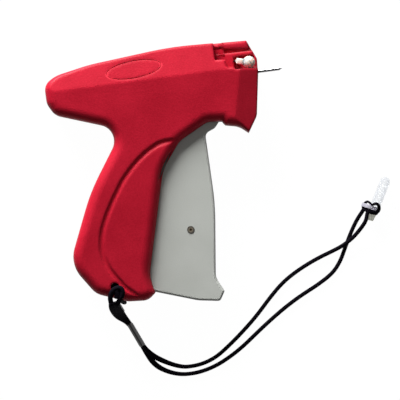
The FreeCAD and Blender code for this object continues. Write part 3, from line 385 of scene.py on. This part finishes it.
# The strap. Routes are in millimetres of the gun's frame, and a share is a part of the
# cord's full radius at that point.
UPPER_ROUTE = [
    (-32.91, -147.92, 4.22), (-29.59, -155.04, 4.22), (-26.67, -159.09, 3.60),
    (-23.47, -162.35, 2.40), (-19.84, -164.75, 1.67), (-15.32, -167.36, 1.48),
    (-10.14, -169.62, 1.40), (-5.12, -170.77, 1.35), (3.70, -170.23, 1.30),
    (12.61, -167.27, 1.30), (21.24, -161.35, 1.30), (30.73, -153.90, 1.30),
    (40.35, -145.49, 1.30), (49.47, -135.90, 1.30), (58.39, -127.70, 1.30),
    (68.24, -121.70, 1.30), (80.50, -116.20, 1.30), (91.80, -112.50, 1.90),
    (97.60, -110.20, 4.20), (104.10, -106.30, 4.40), (109.00, -101.80, 5.60),
    (112.90, -97.40, 8.20), (114.19, -92.79, 7.60), (115.17, -91.64, 8.00),
]
LOWER_ROUTE = [
    (-32.96, -147.99, 1.78), (-30.37, -155.14, 1.78), (-28.21, -159.93, 1.60),
    (-25.98, -164.25, 1.76), (-23.01, -167.99, 1.71), (-18.84, -171.03, 1.52),
    (-13.69, -173.47, 1.40), (-7.21, -175.05, 1.35), (1.94, -174.86, 1.30),
    (11.94, -172.35, 1.30), (21.02, -168.07, 1.30), (29.54, -162.93, 1.30),
    (38.93, -155.89, 1.30), (47.66, -149.59, 1.30), (57.59, -142.99, 1.30),
    (68.00, -137.10, 1.30), (79.60, -131.70, 1.30), (89.20, -126.00, 1.30),
    (94.60, -119.50, 1.30), (98.20, -112.40, 1.30), (103.00, -103.40, 1.30),
    (107.60, -96.10, 2.00), (112.27, -90.72, 4.60), (113.12, -89.50, 5.60),
]
TAB_ROUTE = [
    (-43.86, -125.79, 29.80), (-43.62, -127.69, 27.40), (-42.79, -130.76, 20.00),
    (-41.24, -133.96, 12.30), (-39.06, -136.78, 6.20), (-36.82, -139.71, 3.50),
    (-35.08, -142.99, 3.00),
]
TAB_SHARES = [0.72, 0.92, 0.98, 0.90, 0.64, 0.46, 0.42]
# The strands are fuller where they leave the sleeve.
UPPER_SHARES = [1.0, 1.05, 1.22, 1.35, 1.30, 1.15, 1.08]
LOWER_SHARES = [1.0, 1.05, 1.22, 1.38, 1.34, 1.18, 1.08]
# The painted highlight along the tab's right edge, a light grey strip for the sheen there: part
# of the tab's length, and how far out.
TAB_EDGE = [(0.02, 2.9), (0.12, 3.4), (0.30, 3.6), (0.48, 3.3)]
# The ring of cord in front of the eye, its inner fold, its end behind, the part in the eye.
KNOT_RING = [
    (-44.86, -127.15, 28.00), (-45.40, -124.16, 29.20), (-44.87, -121.20, 30.20),
    (-43.19, -118.58, 30.80), (-40.74, -117.34, 31.00), (-38.25, -117.66, 31.00),
    (-37.15, -119.79, 31.00), (-37.91, -122.34, 30.80), (-39.66, -124.54, 29.90),
    (-41.60, -127.09, 28.20),
]
KNOT_FOLD = [
    (-41.44, -118.89, 30.00), (-40.28, -120.60, 30.20), (-40.75, -123.56, 29.40),
]
KNOT_BACK = [
    (-39.42, -124.69, 25.00), (-38.62, -126.68, 17.00), (-37.32, -127.00, 11.00),
]
KNOT_STEM = [(-41.55, -116.95, 7.0), (-41.55, -116.95, 16.0), (-41.55, -116.95, 24.5)]
# The hitch round the cap, in the cap's own frame: along its axis, to its left, up, share.
HITCH = [
    (-2.2, 4.7, 5.0, 1.0), (0.0, 4.8, 3.0, 0.9), (1.0, 4.6, 4.6, 0.75), (2.2, 4.0, 7.0, 0.62),
    (2.2, 2.5, 8.9, 0.62), (1.5, 1.4, 9.1, 0.60), (1.5, 0.3, 9.1, 0.66), (2.9, -0.9, 9.3, 0.78),
    (3.2, -2.2, 8.7, 0.80), (2.6, -3.5, 7.5, 0.90), (1.0, -4.4, 6.7, 1.0), (-1.0, -4.4, 6.7, 1.0),
    (-2.6, -2.8, 7.3, 1.0), (-2.9, -0.5, 8.0, 1.0), (-2.9, 1.4, 8.0, 1.0), (-2.7, 3.2, 7.0, 1.0),
]
# The middle of the cap's flange, and the turn of its axis from the gun's X.
FLANGE = (117.4, -89.8, 4.9)
CAP_TURN = math.radians(59.0)
NECK_RING_RADIUS = 3.4
NECK_RING = [
    (-2.2, NECK_RING_RADIUS * math.cos(a) - 0.6, FLANGE[2] + NECK_RING_RADIUS * math.sin(a), 1.0)
    for a in [2 * math.pi * k / 12 for k in range(12)]
]

STRAND_RADIUS = 1.22
TAB_RADIUS = 0.8
TAB_HALF_WIDTH = 3.0
PAINTED_TAB_HIGHLIGHT_RADIUS = 0.6
HITCH_RADIUS = 1.15
KNOT_RADIUS = 1.5
SPLINE_STEPS = 10
ROUND_STEPS = 5


def with_shares(route, shares=()):
    """The points with their shares; those past the last share are at full thickness."""
    full = [1.0] * (len(route) - len(shares))
    return [(*place, share) for place, share in zip(route, [*shares, *full])]


def new_curve(name):
    """An empty curve in space."""
    curve = bpy.data.curves.new(name, "CURVE")
    curve.dimensions = "3D"
    return curve


def add_spline(curve, route, closed=False, tilt=0.0):
    """One NURBS run through points (x, y, z, share), ending on them unless it is closed."""
    spline = curve.splines.new("NURBS")
    spline.points.add(len(route) - 1)
    for point, (x, y, z, share) in zip(spline.points, route):
        point.co = (x * MM, y * MM, z * MM, 1)
        point.radius = share
        point.tilt = tilt
    spline.order_u = 3
    spline.use_cyclic_u = closed
    spline.use_endpoint_u = not closed
    spline.resolution_u = SPLINE_STEPS


def cord_object(name, curve, radius, node, material=CORD):
    """The curve as cord in its CAD node's place. Its values are all set before its object."""
    curve.bevel_depth = radius * MM
    curve.bevel_resolution = ROUND_STEPS
    curve.use_fill_caps = True
    curve.materials.append(material)
    obj = bpy.data.objects.new(name, curve)
    bpy.context.scene.collection.objects.link(obj)
    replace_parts(obj, node)
    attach(obj, "housing")
    return obj


def strand(name, route, shares, node):
    """A round strand on one open spline through the CAD route's points."""
    curve = new_curve(name)
    add_spline(curve, with_shares(route, shares))
    return cord_object(name, curve, STRAND_RADIUS, node)


def tab_strip():
    """The tab as a flat strip on one open spline, its width kept level by the tilt."""
    curve = new_curve("strap_tab_strip")
    add_spline(curve, with_shares(TAB_ROUTE, TAB_SHARES), tilt=math.radians(90))
    curve.extrude = TAB_HALF_WIDTH * MM
    curve.twist_mode = "Z_UP"
    return cord_object("strap_tab_strip", curve, TAB_RADIUS, "strap_tab")


def loop_piece(name, runs, radius, node, material=CORD):
    """Round cord in closed or open runs, as one piece."""
    curve = new_curve(name)
    for route, closed in runs:
        add_spline(curve, route, closed)
    return cord_object(name, curve, radius, node, material)


def spline_points(route):
    """Points read from the route's own spline, in metres."""
    curve = new_curve("route")
    add_spline(curve, with_shares(route))
    obj = bpy.data.objects.new("route", curve)
    mesh = bpy.data.meshes.new_from_object(obj)
    points = [v.co.copy() for v in mesh.vertices]
    bpy.data.objects.remove(obj)
    bpy.data.curves.remove(curve)
    bpy.data.meshes.remove(mesh)
    return points


def spline_length(route):
    """The length of the route's spline, in metres."""
    points = spline_points(route)
    return sum((b - a).length for a, b in zip(points, points[1:]))


def tab_edge():
    """Points beside the tab's own spline, on its right."""
    middle = spline_points(TAB_ROUTE)
    last = len(middle) - 1
    edge = []
    for part, out in TAB_EDGE:
        k = round(part * last)
        ahead = middle[min(k + 3, last)] - middle[max(k - 3, 0)]
        side = Vector((-ahead.y, ahead.x, 0)).normalized()
        edge.append(middle[k] / MM + side * out)
    return edge


def cap_place(along, left, up):
    """A place in the cap's own frame, in millimetres of the gun's frame."""
    c, s = math.cos(CAP_TURN), math.sin(CAP_TURN)
    return (FLANGE[0] + along * c - left * s, FLANGE[1] + along * s + left * c, up)


def on_cap(route):
    """A route in the cap's own frame, moved to the gun's."""
    return [(*cap_place(*place), share) for *place, share in route]


upper = strand("strap_upper_cord", UPPER_ROUTE, UPPER_SHARES, "strap_strand_upper")
lower = strand("strap_lower_cord", LOWER_ROUTE, LOWER_SHARES, "strap_strand_lower")
tab = tab_strip()
loop_piece(
    "strap_tab_painted_highlight", [(with_shares(tab_edge()), False)], PAINTED_TAB_HIGHLIGHT_RADIUS, "strap_tab", PAINTED_TAB_HIGHLIGHT
)
loop_piece(
    "strap_cap_loop", [(on_cap(HITCH), True), (on_cap(NECK_RING), True)],
    HITCH_RADIUS, "strap_hitch",
)
KNOT_RUNS = [(KNOT_RING, 1.0), (KNOT_FOLD, 1.40), (KNOT_BACK, 0.85), (KNOT_STEM, 1.68)]
loop_piece(
    "strap_eye_loop",
    [(with_shares(route, [share] * len(route)), False) for route, share in KNOT_RUNS],
    KNOT_RADIUS, "strap_knot",
)


# Pieces made of boxes, cones and spun lines. Sizes are in millimetres, matrices in metres.
def mesh_object(name, bm, material, body):
    """A finished bmesh as a piece that rides on a body."""
    mesh = bpy.data.meshes.new(name)
    bm.to_mesh(mesh)
    bm.free()
    obj = bpy.data.objects.new(name, mesh)
    bpy.context.scene.collection.objects.link(obj)
    dress(obj, material, PIECE_ANGLE)
    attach(obj, body)
    return obj


def round_edges(bm, edges, offset, segments):
    """Rounds the edges given."""
    bmesh.ops.bevel(
        bm, geom=edges, offset=offset * MM, segments=segments, profile=0.5, affect="EDGES",
        material=-1,
    )


def edges_of(made):
    """The edges at the vertices that an operator has made."""
    return list({e for v in made["verts"] for e in v.link_edges})


def rounded_box(bm, matrix, size, offset, segments):
    """A box with rounded edges."""
    scale = Matrix.Diagonal((size[0] * MM, size[1] * MM, size[2] * MM, 1))
    made = bmesh.ops.create_cube(bm, size=1, matrix=matrix @ scale)
    round_edges(bm, edges_of(made), offset, segments)


def rounded_cone(bm, matrix, radii, depth, sides, offset):
    """A cone or disc along the matrix's X axis, with rounded rims."""
    made = bmesh.ops.create_cone(
        bm, cap_ends=True, segments=sides, radius1=radii[0] * MM, radius2=radii[1] * MM,
        depth=depth * MM, matrix=matrix @ Matrix.Rotation(math.radians(90), 4, "Y"),
    )
    rims = [e for e in edges_of(made) if any(len(f.verts) > 4 for f in e.link_faces)]
    round_edges(bm, rims, offset, 3)


def strap_sleeve():
    """The rolled metal sleeve round the tab's end and the two strands."""
    bm = bmesh.new()
    place = Matrix.Translation(SLEEVE_CENTRE * MM) @ Matrix.Rotation(SLEEVE_TURN, 4, "Z")
    rounded_box(bm, place, SLEEVE_SIZE, 0.9, 5)
    return mesh_object("strap_sleeve", bm, CRIMP, "housing")


def cap_matrix(along, left, turn):
    """Where a piece of the cap stands: its local X axis along the cap, turned by degrees."""
    place = Vector(cap_place(along, left, FLANGE[2])) * MM
    return Matrix.Translation(place) @ Matrix.Rotation(CAP_TURN + math.radians(turn), 4, "Z")


def cap_tube():
    """The translucent tube with its rounded end, spun from the line of its wall."""
    bm = bmesh.new()
    mouth, mouth_radius, reach, end_radius, wall = 0.2, 3.1, 17.3, 3.0, 0.7
    arc = [math.radians(a) for a in range(0, 91, 10)]
    outer, inner = (
        [(reach + radius * math.sin(a), radius * math.cos(a)) for a in arc]
        for radius in (end_radius, end_radius - wall)
    )
    start = (mouth, mouth_radius)
    line = [start] + outer + inner[::-1] + [(mouth, mouth_radius - wall), start]
    verts = [bm.verts.new((x * MM, 0, r * MM)) for x, r in line]
    edges = [bm.edges.new(pair) for pair in zip(verts, verts[1:])]
    bmesh.ops.spin(
        bm, geom=verts + edges, cent=(0, 0, 0), axis=(1, 0, 0), dvec=(0, 0, 0),
        angle=2 * math.pi, steps=48, use_merge=True,
    )
    bmesh.ops.remove_doubles(bm, verts=bm.verts, dist=1e-6)
    bmesh.ops.recalc_face_normals(bm, faces=bm.faces)
    bmesh.ops.transform(bm, matrix=cap_matrix(0.0, -1.7, 1.6), verts=bm.verts)
    return mesh_object("cap_tube", bm, CAP, "housing")


def cap_collar():
    """The cap's round flange, which reaches further to its left."""
    bm = bmesh.new()
    rounded_cone(bm, cap_matrix(-0.3, 1.5, 4.5), (4.8, 4.8), depth=2.4, sides=64, offset=0.25)
    return mesh_object("cap_collar", bm, COLLAR, "housing")


def cap_neck():
    """The cap's short tapering neck below the flange."""
    bm = bmesh.new()
    rounded_cone(bm, cap_matrix(-4.3, -1.95, 8.0), (1.6, 3.0), depth=6.6, sides=48, offset=0.3)
    return mesh_object("cap_neck", bm, NECK, "housing")


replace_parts(strap_sleeve(), "strap_crimp")
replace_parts(cap_tube(), "needle_cap")
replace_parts(cap_collar(), "needle_cap")
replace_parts(cap_neck(), "needle_cap")

spline_length(TAB_ROUTE)
spline_length(UPPER_ROUTE)
spline_length(LOWER_ROUTE)

# The lock lever: its turning axis, the ball, and the stem between them.
PIVOT = Vector((48.40, 7.60, 0.0))
BALL = Vector((55.20, 5.90, 22.5))
BALL_RADIUS = 3.8
STEM_START, STEM_WIDTH, STEM_THICK, STEM_TOP = -0.5, 3.45, 3.4, 24.2
BOSS_LOW, BOSS_RADIUS = 16.3, 1.1
CAM_LOW, CAM_HIGH = 3.2, 7.6


def lock_lever():
    """The white lever: a ball, a square-ended stem and a boss down to the recess."""
    bm = bmesh.new()
    bmesh.ops.create_uvsphere(
        bm, u_segments=48, v_segments=32, radius=BALL_RADIUS * MM,
        matrix=Matrix.Translation(BALL * MM),
    )
    along = Vector((BALL.x - PIVOT.x, BALL.y - PIVOT.y, 0)).normalized()
    end = (BALL - PIVOT).to_2d().length - 1.5
    middle = PIVOT + along * (STEM_START + end) / 2
    middle.z = STEM_TOP - STEM_THICK / 2
    place = Matrix.Translation(middle * MM) @ Matrix.Rotation(
        math.atan2(along.y, along.x), 4, "Z"
    )
    rounded_box(bm, place, (end - STEM_START, STEM_WIDTH, STEM_THICK), 0.35, 3)
    boss_high = STEM_TOP - STEM_THICK + 0.3
    boss_middle = PIVOT + Vector((0, 0, (BOSS_LOW + boss_high) / 2))
    bmesh.ops.create_cone(
        bm, cap_ends=True, segments=32, radius1=BOSS_RADIUS * MM, radius2=BOSS_RADIUS * MM,
        depth=(boss_high - BOSS_LOW) * MM, matrix=Matrix.Translation(boss_middle * MM),
    )
    return mesh_object("lock_ball_lever", bm, WHITE, "lock")


def lock_cam():
    """The cam below the stem that holds the needle's hub, dark red as painted shade."""
    bm = bmesh.new()
    middle = Vector((PIVOT.x, (CAM_LOW + CAM_HIGH) / 2, 17.15))
    rounded_box(bm, Matrix.Translation(middle * MM), (2.0, CAM_HIGH - CAM_LOW, 1.7), 0.2, 2)
    return mesh_object("lock_cam", bm, PAINTED_SHADE_RED, "lock")


# The recess's thin bars over the tag slot: corners in plan, low side, high side.
RECESS_BARS = [
    ([(35.0, 16.3), (41.4, 15.7), (41.4, 19.5), (35.0, 19.8)], 18.35, 18.75),
    ([(41.2, 15.72), (56.4, 14.3), (54.8, 18.8), (41.2, 19.5)], 16.8, 18.5),
    ([(35.0, 12.2), (41.4, 11.6), (41.4, 13.0), (35.0, 13.6)], 18.35, 18.75),
    ([(41.2, 13.0), (56.0, 11.8), (56.3, 14.5), (41.2, 16.0)], 16.8, 17.5),
]


def recess_bars():
    """Thin red bars over the slot, each an outline drawn up from its low side."""
    bm = bmesh.new()
    for corners, low, high in RECESS_BARS:
        face = bm.faces.new([bm.verts.new((x * MM, y * MM, low * MM)) for x, y in corners])
        raised = bmesh.ops.extrude_face_region(bm, geom=[face])["geom"]
        top = {g for g in raised if isinstance(g, bmesh.types.BMVert)}
        bmesh.ops.translate(bm, vec=(0, 0, (high - low) * MM), verts=list(top))
        edges = list({e for v in top for e in v.link_edges if top.issuperset(e.verts)})
        round_edges(bm, edges, 0.2, 2)
    bmesh.ops.recalc_face_normals(bm, faces=bm.faces)
    return mesh_object("recess_bars", bm, RED, "housing")


recess_bars()
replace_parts(lock_lever(), "needle_lock")
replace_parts(lock_cam(), "needle_lock")

# The stage: paper, lamps and camera.
FLOOR_HALF = 3
FLOOR_LEVEL = -0.0002
PHOTO_TILT = math.radians(7.5)
RIGHT = Vector((math.cos(PHOTO_TILT), -math.sin(PHOTO_TILT), 0))
UP = Vector((math.sin(PHOTO_TILT), math.cos(PHOTO_TILT), 0))
BACK = Vector((0, 0, 1))
CENTRE = Vector((15.5, -71.9, 14.0)) * MM
VIEW_WIDTH = 0.240
CAMERA_DISTANCE = 2.5
SENSOR_WIDTH = 36


def paper_material():
    """White to the camera with a light shadow, and a dull surface to bounced light."""
    material = bpy.data.materials.new("WhitePaper")
    material.use_nodes = True
    tree = material.node_tree
    tree.nodes.clear()
    path = add(tree, "ShaderNodeLightPath").outputs
    shown = path["Is Camera Ray"]
    for ray in ("Is Transmission Ray", "Is Glossy Ray"):
        either = add(tree, "ShaderNodeMath", {0: shown, 1: path[ray]}, operation="MAXIMUM")
        shown = either.outputs[0]
    glow = add(tree, "ShaderNodeEmission", {"Color": (1, 1, 1, 1), "Strength": 1.02})
    white = add(tree, "ShaderNodeBsdfDiffuse", {"Color": (0.85, 0.85, 0.85, 1)})
    bright = add(
        tree, "ShaderNodeMixShader", {"Fac": 0.03, 1: glow.outputs[0], 2: white.outputs[0]}
    )
    dull = add(tree, "ShaderNodeBsdfDiffuse", {"Color": (0.07, 0.07, 0.075, 1)})
    both = add(
        tree, "ShaderNodeMixShader", {"Fac": shown, 1: dull.outputs[0], 2: bright.outputs[0]}
    )
    add(tree, "ShaderNodeOutputMaterial", {"Surface": both.outputs[0]})
    return material


def lamp(name, offset, energy, size):
    """An area lamp aimed at the gun. offset is (right, up, towards the camera) in metres."""
    data = bpy.data.lights.new(name, "AREA")
    data.energy = energy
    data.size = size
    obj = bpy.data.objects.new(name, data)
    obj.location = CENTRE + RIGHT * offset[0] + UP * offset[1] + BACK * offset[2]
    direction = CENTRE - obj.location
    obj.rotation_euler = direction.to_track_quat("-Z", "Y").to_euler()
    bpy.context.scene.collection.objects.link(obj)


floor_mesh = bpy.data.meshes.new("floor")
floor_mesh.from_pydata(
    [(x * FLOOR_HALF, y * FLOOR_HALF, FLOOR_LEVEL)
     for x, y in ((-1, -1), (1, -1), (1, 1), (-1, 1))],
    [], [(0, 1, 2, 3)],
)
floor = bpy.data.objects.new("floor", floor_mesh)
bpy.context.scene.collection.objects.link(floor)
floor.data.materials.append(paper_material())

world = bpy.data.worlds.new("Studio")
bpy.context.scene.world = world
world.use_nodes = True
feed(world.node_tree, world.node_tree.nodes["Background"], {
    "Color": (1, 1, 1, 1), "Strength": 0.12,
})

lamp("key", (-0.46, 1.17, 0.315), energy=60.0, size=0.78)
lamp("fill", (0.90, 0.40, 0.85), energy=0.8, size=0.50)

camera_data = bpy.data.cameras.new("photo_view")
camera_data.sensor_width = SENSOR_WIDTH
camera_data.lens = SENSOR_WIDTH * CAMERA_DISTANCE / VIEW_WIDTH
camera = bpy.data.objects.new("photo_view", camera_data)
bpy.context.scene.collection.objects.link(camera)
turned = Matrix((RIGHT, UP, BACK)).transposed().to_4x4()
camera.matrix_world = Matrix.Translation(CENTRE + BACK * CAMERA_DISTANCE) @ turned
bpy.context.scene.camera = camera
bpy.context.scene.view_settings.view_transform = "Standard"

bpy.context.view_layer.update()
